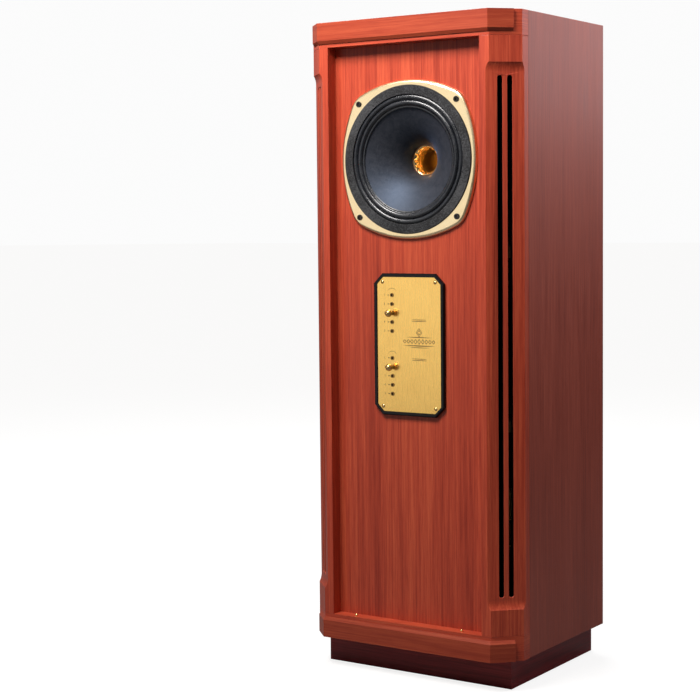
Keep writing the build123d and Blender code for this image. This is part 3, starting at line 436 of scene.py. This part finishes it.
WOODS = {
    "left_side_panel": (CHERRY_SIDE, "upright", 1.3, {}),
    "right_side_panel": (CHERRY_SIDE, "upright", 2.9, {}),
    "back_panel": (CHERRY_SIDE, "upright", 7.7, {}),
    "top_panel": (CHERRY_SIDE, "level", 4.2, {}),
    "bottom_panel": (CHERRY_SIDE, "level", 6.9, {}),
    "front_baffle": (CHERRY, "upright", 6.4, {"figure": 0.12}),
    "left_front_post": (CHERRY, "upright", 8.1, {"ported": True}),
    "right_front_post": (CHERRY, "upright", 9.6, {"ported": True}),
    "top_front_rail": (CHERRY, "band", 3.7, {}),
    "bottom_front_rail": (CHERRY, "band", 5.9, {}),
    "top_moulding": (CHERRY_BAND, "band", 1.9, {}),
    "bottom_moulding": (CHERRY_BAND, "band", 2.2, {}),
}


def dress(node, material):
    materials = frame["nodes"][node].data.materials
    materials.clear()
    materials.append(material)


def dress_cad_nodes():
    finishes = {slot: make() for slot, make in SLOT_FINISHES.items()}
    own = {node: wood(node + "_wood", tones, grain, seed, **more)
           for node, (tones, grain, seed, more) in WOODS.items()}
    own["control_plate"] = brushed_plate()
    own["selector_sockets"] = metal("socket_bronze", (0.34, 0.22, 0.09), 0.24, tarnish=0.2)
    own["voice_coil"] = wound_wire("coil_winding", (0.72, 0.30, 0.13), 0.35 * MM, 1)
    for part in frame["record"]["subparts"]:
        node = part["node"]
        dress(node, own.get(node) or finishes[part["material_slot"]])
    return finishes


def soften_edges(node, width):
    """Small rounded arrises on a wooden piece, which also draw the joint lines between pieces."""
    piece = frame["nodes"][node]
    weld = piece.modifiers.new("weld", "WELD")
    weld.merge_threshold = 0.02 * MM
    bevel = piece.modifiers.new("arris", "BEVEL")
    bevel.width = width
    bevel.segments = 2
    bevel.limit_method = "ANGLE"
    bevel.angle_limit = radians(35)
    bevel.harden_normals = True


# ---------------------------------------------------------------- mesh helpers
def new_piece(name, points, faces, material, smooth=True):
    mesh = bpy.data.meshes.new(name)
    mesh.from_pydata(points, [], faces)
    work = bmesh.new()
    work.from_mesh(mesh)
    bmesh.ops.recalc_face_normals(work, faces=work.faces)
    for face in work.faces:
        face.smooth = smooth
    work.to_mesh(mesh)
    work.free()
    mesh.materials.append(material)
    piece = bpy.data.objects.new(name, mesh)
    bpy.context.scene.collection.objects.link(piece)
    return piece


def turned(name, outline, centre, steps, material, flute=None):
    """A closed outline of (radius, y) turned about a y axis; flute(index, angle) changes a radius."""
    points, faces = [], []
    count = len(outline)
    for i in range(steps):
        angle = tau * i / steps
        for j, (radius, y) in enumerate(outline):
            r = radius + (flute(j, angle) if flute else 0.0)
            points.append((centre[0] + r * cos(angle), y, centre[1] + r * sin(angle)))
    for i in range(steps):
        near, far = i * count, (i + 1) % steps * count
        for j in range(count):
            k = (j + 1) % count
            faces.append((near + j, near + k, far + k, far + j))
    return new_piece(name, points, faces, material)


def axis_of(node):
    low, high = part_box(node)
    return (low.x + high.x) / 2, (low.z + high.z) / 2


def outer_radius(node):
    low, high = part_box(node)
    return (high.x - low.x) / 2


# ---------------------------------------------------------------- driver
DRIVER_STEPS = 160

# The surround: two rolls between a flange under the gasket and a lip on the cone. FLANGE_RING is
# where one more ring of points lies on the flange, in from its rim.
ROLL_OUTER, ROLL_INNER = 107 * MM, 89 * MM
FLANGE_RING, LIP = 6 * MM, 4 * MM
SURROUND_T = 0.9 * MM
ROLL_POINTS = 14

# The spider: waves between a flat on the coil former and a flat on the chassis's shelf.
SPIDER_INNER, SHELF_INNER = 26.4 * MM, 60 * MM
SPIDER_FLAT, SPIDER_T = 4 * MM, 0.6 * MM
SPIDER_WAVES, SPIDER_POINTS, SPIDER_STEPS = 5, 90, 96

# The throat's inside is one cubic curve: its control radii from the mouth to the end, and how far
# its two middle controls are from the mouth and from the end.
THROAT_R = (23.8 * MM, 17 * MM, 12 * MM, 11 * MM)
FROM_MOUTH, FROM_END = 20 * MM, 30 * MM
THROAT_POINTS = 34
MOUTH_R, MOUTH_L, MOUTH_EDGE = 24.6 * MM, 6 * MM, 0.3 * MM
BODY_R, BODY_START = 19.8 * MM, 16 * MM
FLANGE_T = 4 * MM
FLUTES, STEPS_PER_FLUTE, FLUTE_DEPTH = 14, 12, 2.8 * MM


def arc_rise(offset, half, rise):
    """Height of a shallow arc above its chord."""
    ball = (half**2 + rise**2) / (2 * rise)
    return sqrt(max(0.0, ball**2 - offset**2)) - (ball - rise)


def make_surround(finishes):
    """Two half rolls in doped cloth, glued under the gasket outside and on the cone inside."""
    low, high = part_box("cone_surround")
    centre = axis_of("cone_surround")
    flat = high.y - SURROUND_T
    rise = flat - low.y
    groove = (ROLL_OUTER + ROLL_INNER) / 2
    half = (ROLL_OUTER - groove) / 2
    rim, lip = outer_radius("cone_surround"), ROLL_INNER - LIP
    front = [(rim, flat), (rim - FLANGE_RING, flat)]
    for middle in (groove + half, groove - half):
        for i in range(ROLL_POINTS + 1):
            offset = half * cos(pi * i / ROLL_POINTS)
            lift = arc_rise(offset, half, rise)
            front.append((middle + offset, flat - lift))
    front += [(ROLL_INNER - LIP / 2, flat), (lip, flat)]
    back = [(radius, y + SURROUND_T * 0.98) for radius, y in reversed(front)]
    piece = turned("surround_rolls", front + back, centre, DRIVER_STEPS, finishes["doped_cloth"])
    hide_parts("cone_surround")
    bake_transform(piece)


def make_spider(finishes):
    """A corrugated disc of resin-stiffened cloth behind the cone."""
    low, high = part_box("spider")
    centre = axis_of("spider")
    swing = (high.y - low.y - SPIDER_T) / 2
    last_wave = SPIDER_INNER + SPIDER_FLAT
    front = [(outer_radius("spider"), low.y)]
    for i in range(SPIDER_POINTS + 1):
        share = i / SPIDER_POINTS
        radius = SHELF_INNER + (last_wave - SHELF_INNER) * share
        front.append((radius, low.y + swing * (1 - cos(tau * SPIDER_WAVES * share))))
    front.append((SPIDER_INNER, low.y))
    back = [(radius, y + SPIDER_T) for radius, y in reversed(front)]
    piece = turned("spider_cloth", front + back, centre, SPIDER_STEPS, finishes["spider_cloth"])
    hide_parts("spider")
    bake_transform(piece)


def cubic(t, a, b, c, d):
    """A point at t on the cubic curve with these four control values."""
    s = 1 - t
    return s**3 * a + 3 * s**2 * t * b + 3 * s * t**2 * c + t**3 * d


def make_waveguide(finishes):
    """The gilt throat, with rounded flutes that fade in from the mouth."""
    low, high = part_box("hf_waveguide")
    centre = axis_of("hf_waveguide")
    mouth, end = low.y, high.y
    flange_r = outer_radius("hf_waveguide")
    body, flange = mouth + BODY_START, end - FLANGE_T
    depths = (0.0, FROM_MOUTH, end - mouth - FROM_END, end - mouth)
    inside = []
    for i in range(THROAT_POINTS + 1):
        t = i / THROAT_POINTS
        inside.append((cubic(t, *THROAT_R), mouth + cubic(t, *depths)))
    outside = [(flange_r, end), (flange_r, flange), (BODY_R, flange), (BODY_R, body),
               (MOUTH_R, mouth + MOUTH_L), (MOUTH_R, mouth + MOUTH_EDGE),
               (MOUTH_R - MOUTH_EDGE, mouth)]

    def fluted(j, angle):
        """Flutes on the inside only, deepest a tenth of the way along the curve."""
        if j > THROAT_POINTS:
            return 0.0
        t = j / THROAT_POINTS
        fade = min(1.0, t / 0.10) * (1 - 0.7 * t)
        return FLUTE_DEPTH * fade * 0.5 * (cos(FLUTES * angle) - 1.0)

    piece = turned("fluted_throat", inside + outside, centre, FLUTES * STEPS_PER_FLUTE,
                   finishes["gold_waveguide"], fluted)
    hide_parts("hf_waveguide")
    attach(piece, "cabinet")


# ---------------------------------------------------------------- foam
def solids_of(node):
    """The box of each separate solid in a CAD node."""
    work = bmesh.new()
    work.from_mesh(frame["nodes"][node].data)
    bmesh.ops.remove_doubles(work, verts=work.verts, dist=0.01 * MM)
    left, boxes = set(work.verts), []
    while left:
        group, edge = set(), [min(left, key=lambda v: tuple(v.co))]
        while edge:
            vertex = edge.pop()
            if vertex in group:
                continue
            group.add(vertex)
            edge += [e.other_vert(vertex) for e in vertex.link_edges]
        left -= group
        sides = list(zip(*(v.co for v in group)))
        boxes.append((Vector(min(s) for s in sides), Vector(max(s) for s in sides)))
    work.free()
    return boxes


EGG_PITCH = 34 * MM
EGG_CELL = 5 * MM
EGG_SOFT = 3.5 * MM      # the length over which a pad rises in from its edges
FOAM_INSET = 0.4 * MM
# Shares of a pad's thickness: its top edge, what the crown adds, the peaks, its widest line.
FOAM_EDGE, FOAM_CROWN, FOAM_PEAK, FOAM_SIDE = 0.40, 0.27, 0.32, 0.22


def make_foam_pad(index, low, high, finishes):
    """Egg-crate foam on a wall: peaks and hollows inside, crowned down to soft edges."""
    size = high - low
    thin = min(range(2), key=lambda axis: size[axis])
    middle = (low + high) / 2
    wall_side = high if middle[thin] > 0 else low
    inwards = -1.0 if middle[thin] > 0 else 1.0
    along = 1 - thin
    nu = max(8, round(size[along] / EGG_CELL))
    nv = max(8, round(size.z / EGG_CELL))
    thick = size[thin]

    def place(i, j, height, shrink):
        point = Vector((0.0, 0.0, 0.0))
        u, v = i / nu - 0.5, j / nv - 0.5
        point[along] = middle[along] + u * (size[along] - 2 * shrink)
        point.z = middle.z + v * (size.z - 2 * shrink)
        point[thin] = wall_side[thin] + inwards * height
        return tuple(point)

    def crown(i, j):
        edge = min(i / nu * size[along], (1 - i / nu) * size[along],
                   j / nv * size.z, (1 - j / nv) * size.z)
        soft = 1 - exp(-edge / EGG_SOFT)
        wave = cos(tau * i / nu * round(size[along] / EGG_PITCH))
        wave *= cos(tau * j / nv * round(size.z / EGG_PITCH))
        return thick * (FOAM_EDGE + soft * (FOAM_CROWN + FOAM_PEAK * wave))

    grid = nu + 1
    points = [place(i, j, crown(i, j), FOAM_INSET) for j in range(nv + 1) for i in range(grid)]
    faces = [(j * grid + i, j * grid + i + 1, (j + 1) * grid + i + 1, (j + 1) * grid + i)
             for j in range(nv) for i in range(nu)]
    rim = [(i, 0) for i in range(nu)] + [(nu, j) for j in range(nv)]
    rim += [(i, nv) for i in range(nu, 0, -1)] + [(0, j) for j in range(nv, 0, -1)]
    top = [j * grid + i for i, j in rim]
    base = []
    for level, shrink in ((FOAM_SIDE * thick, 0.0), (0.0, FOAM_INSET)):
        start = len(points)
        points += [place(i, j, level, shrink) for i, j in rim]
        base.append([start + k for k in range(len(rim))])
    for upper, lower in ((top, base[0]), (base[0], base[1])):
        for k in range(len(rim)):
            n = (k + 1) % len(rim)
            faces.append((upper[k], upper[n], lower[n], lower[k]))
    faces.append(tuple(base[1]))
    piece = new_piece(f"foam_pad_{index}", points, faces, finishes["acoustic_foam"])
    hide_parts("damping_pads")
    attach(piece, "cabinet")


def make_foam(finishes):
    for index, (low, high) in enumerate(solids_of("damping_pads")):
        make_foam_pad(index, low, high, finishes)


# ---------------------------------------------------------------- engraving on the brass plate
INK_PROUD = 0.05 * MM
INK_DEEP = 0.05 * MM
MARK_NEAR, MARK_FAR, MARK_W = 5.4 * MM, 8.8 * MM, 1.1 * MM
LONGER_MARKS, LONGER_BY = (2, 6), 2.2 * MM
NUMERAL_ASIDE, NUMERAL_H = 15.0 * MM, 3.6 * MM
ARC_R, ARC_RISE, ARC_W = 10.5 * MM, 1.0 * MM, 0.6 * MM
ORNAMENT_ASIDE, ORNAMENT_RISE = 20 * MM, 6 * MM


class Engraving:
    """Flat raised marks on the plate, gathered into one mesh. Places are (x, z) in metres."""

    def __init__(self, face):
        self.points, self.faces, self.face = [], [], face

    def slab(self, outline):
        start, count = len(self.points), len(outline)
        for y in (self.face - INK_PROUD, self.face + INK_DEEP):
            self.points += [(x, y, z) for x, z in outline]
        self.faces.append(tuple(range(start, start + count)))
        self.faces.append(tuple(range(start + 2 * count - 1, start + count - 1, -1)))
        for i in range(count):
            j = (i + 1) % count
            self.faces.append((start + i, start + j, start + count + j, start + count + i))

    def stroke(self, path, width, taper=0.0):
        """A line of even width, or one that thins towards both ends."""
        left, right = [], []
        for i, (x, z) in enumerate(path):
            before, after = path[max(0, i - 1)], path[min(len(path) - 1, i + 1)]
            run = Vector((after[0] - before[0], after[1] - before[1])).normalized()
            share = abs(2 * i / (len(path) - 1) - 1)
            half = width / 2 * (1 - taper * share**2)
            left.append((x - run.y * half, z + run.x * half))
            right.append((x + run.y * half, z - run.x * half))
        self.slab(left + right[::-1])

    def numeral(self, text, x, z, height):
        curve = bpy.data.curves.new("numeral", "FONT")
        curve.body, curve.size = text, height / 0.7
        curve.align_x, curve.align_y = "CENTER", "CENTER"
        curve.resolution_u = 3
        curve.extrude = INK_PROUD
        shown = bpy.data.objects.new("numeral", curve)
        bpy.context.scene.collection.objects.link(shown)
        mesh = bpy.data.meshes.new_from_object(shown.evaluated_get(
            bpy.context.evaluated_depsgraph_get()))
        start = len(self.points)
        self.points += [(x + v.co.x, self.face - v.co.z, z + v.co.y) for v in mesh.vertices]
        self.faces += [tuple(start + i for i in face.vertices) for face in mesh.polygons]
        bpy.data.objects.remove(shown)
        bpy.data.curves.remove(curve)
        bpy.data.meshes.remove(mesh)


def arc_path(x, z, radius, start, end, count=14):
    angles = [radians(start + (end - start) * i / count) for i in range(count + 1)]
    return [(x + radius * cos(a), z + radius * sin(a)) for a in angles]


def make_engraving(finishes):
    """Index marks and numerals by the sockets, an arc over each group and a plain ornament."""
    low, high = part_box("control_plate")
    marks = Engraving(low.y)
    sockets = sorted(solids_of("selector_sockets"), key=lambda box: -box[0].z)
    places = [((a.x + b.x) / 2, (a.z + b.z) / 2) for a, b in sockets]
    for index, (x, z) in enumerate(places):
        reach = LONGER_BY if index in LONGER_MARKS else 0.0
        marks.stroke([(x - MARK_FAR - reach, z), (x - MARK_NEAR, z)], MARK_W)
        marks.numeral(str(index % 5 + 1), x - NUMERAL_ASIDE, z, NUMERAL_H)
    for x, z in (places[0], places[5]):
        marks.stroke(arc_path(x, z + ARC_RISE, ARC_R, 145, 35), ARC_W, taper=0.8)
    middle_x, middle_z = (low.x + high.x) / 2, (low.z + high.z) / 2
    make_ornament(marks, middle_x + ORNAMENT_ASIDE, middle_z + ORNAMENT_RISE)
    ink = moulded("engraving_ink", (0.045, 0.024, 0.008), 0.5)
    piece = new_piece("plate_engraving", marks.points, marks.faces, ink, False)
    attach(piece, "cabinet")


def lozenge(marks, x, z, half_width, half_height, width):
    tips = [(x, z + half_height), (x + half_width, z), (x, z - half_height), (x - half_width, z)]
    for start, end in zip(tips, tips[1:] + tips[:1]):
        marks.stroke([start, end], width)


def make_ornament(marks, x, z):
    """A chain of lozenges between tapered rules, a larger one above, and a bar over and under."""
    for share in (1.0, 0.55):
        lozenge(marks, x, z + 15 * MM, 5.5 * MM * share, 7.0 * MM * share, 0.8 * MM)
    for i in range(-4, 5):
        lozenge(marks, x + i * 7.0 * MM, z, 2.8 * MM, (4.2 - 0.35 * abs(i)) * MM, 0.9 * MM)
    for drop, half, width in ((7.0, 24, 1.2), (-7.0, 30, 1.5), (-10.0, 19, 1.0)):
        line = [(x + half * MM * s / 8, z + drop * MM) for s in range(-8, 9)]
        marks.stroke(line, width * MM, taper=0.85)
    for rise, half in ((35, 14), (-30, 14)):
        for line in (-1.2, 1.2):
            path = [(x + half * MM * s / 4, z + (rise + line) * MM) for s in range(-4, 5)]
            marks.stroke(path, 1.0 * MM, taper=0.4)


# ---------------------------------------------------------------- studio
FLOOR_HALF = 45.0
CAMERA_PLACE = (1.4671, -2.4907, 0.7677)
CAMERA_TURN, CAMERA_TILT, CAMERA_ROLL = radians(34.23), radians(-3.94), radians(-0.58)
LENS, SENSOR, SHIFT_UP = 85.34, 36.0, -0.0214


def make_floor():
    """Pale paper that throws little light back up, so that the foot of the cabinet stays deep."""
    half = FLOOR_HALF
    points = [(-half, -half, 0), (half, -half, 0), (half, half, 0), (-half, half, 0)]
    mesh = bpy.data.meshes.new("floor")
    mesh.from_pydata(points, [], [(0, 1, 2, 3)])
    material, tree, shader = new_material("floor_paper", Roughness=0.85, Specular_IOR_Level=0.0)
    shader.inputs["Emission Color"].default_value = (1.0, 0.995, 0.99, 1)
    cloud = noise(tree, position(tree), 1.5, 2.0)
    wire(tree, shader, Base_Color=ramp(tree, cloud, (0.3, (0.20, 0.20, 0.20)),
                                       (0.7, (0.22, 0.22, 0.22))))
    seen = add(tree, "LightPath").outputs["Is Camera Ray"]
    away = add(tree, "VectorMath", {0: position(tree)}, operation="LENGTH").outputs[1]
    glow = spread(tree, away, 0.5, 2.6, 0.84, 0.94)
    wire(tree, shader, Emission_Strength=maths(tree, "MULTIPLY", seen, glow))
    mesh.materials.append(material)
    floor = bpy.data.objects.new("floor", mesh)
    bpy.context.scene.collection.objects.link(floor)


def softbox(name, place, target, size, power, colour=(1, 1, 1), lights=True):
    """A rectangle of light; one that doesn't light is only seen in reflections."""
    light = bpy.data.lights.new(name, "AREA")
    light.shape = "RECTANGLE"
    light.size, light.size_y = size
    light.energy, light.color = power, colour
    lamp = bpy.data.objects.new(name, light)
    lamp.location = place
    lamp.rotation_euler = (Vector(target) - Vector(place)).to_track_quat("-Z", "Y").to_euler()
    lamp.visible_camera = False
    lamp.visible_diffuse = lights
    bpy.context.scene.collection.objects.link(lamp)


def make_light():
    """A bright paper backdrop that lights the room less than it shows, and five soft boxes."""
    world = bpy.data.worlds.new("studio")
    world.use_nodes = True
    bpy.context.scene.world = world
    tree = world.node_tree
    tree.nodes.clear()
    seen = add(tree, "Background", {"Color": (1, 1, 1, 1), "Strength": 0.97})
    lit = add(tree, "Background", {"Color": (0.94, 0.97, 1, 1), "Strength": 0.055})
    path = add(tree, "LightPath")
    both = maths(tree, "MAXIMUM", path.outputs["Is Camera Ray"],
                 maths(tree, "MULTIPLY", path.outputs["Is Glossy Ray"], 0.28))
    mixed = add(tree, "MixShader", {0: both, 1: lit.outputs[0], 2: seen.outputs[0]})
    add(tree, "OutputWorld", {"Surface": mixed.outputs[0]})
    softbox("key", (-0.18, -0.95, 1.84), (0.0, -0.15, 0.96), (0.7, 0.5), 37, (1.0, 0.96, 0.93))
    softbox("card", (-1.60, -2.55, 0.75), (0.0, -0.18, 0.6), (1.7, 1.7), 9.0, (1.0, 0.98, 0.94), False)
    softbox("side", (0.95, 0.20, 1.85), (0.2, 0.05, 1.0), (0.7, 0.7), 17, (0.97, 0.97, 1.0))
    softbox("haze", (1.35, 2.30, 1.70), (0.2, 0.10, 1.0), (1.6, 1.3), 18, (0.84, 0.93, 1.0), False)
    softbox("rear", (-1.0, 1.5, 2.7), (0.0, 0.1, 0.6), (1.2, 1.2), 52)


def make_camera():
    """The view from the front right, a little below the middle of the driver."""
    turn, tilt, roll = CAMERA_TURN, CAMERA_TILT, CAMERA_ROLL
    forward = Vector((-sin(turn) * cos(tilt), cos(turn) * cos(tilt), sin(tilt)))
    level = Vector((cos(turn), sin(turn), 0))
    upright = level.cross(forward)
    right = level * cos(roll) + upright * sin(roll)
    up = upright * cos(roll) - level * sin(roll)
    camera = bpy.data.cameras.new("camera")
    camera.lens, camera.sensor_width, camera.shift_y = LENS, SENSOR, SHIFT_UP
    camera.clip_start, camera.clip_end = 0.05, 60.0
    holder = bpy.data.objects.new("camera", camera)
    axes = Matrix((right, up, -forward)).transposed().to_4x4()
    holder.matrix_world = Matrix.Translation(CAMERA_PLACE) @ axes
    bpy.context.scene.collection.objects.link(holder)
    bpy.context.scene.camera = holder


make_camera()
made = dress_cad_nodes()
for wooden in WOODS:
    soften_edges(wooden, ARRIS)
make_surround(made)
make_spider(made)
make_waveguide(made)
make_foam(made)
make_engraving(made)
make_floor()
make_light()
bpy.context.scene.view_settings.view_transform = "Standard"
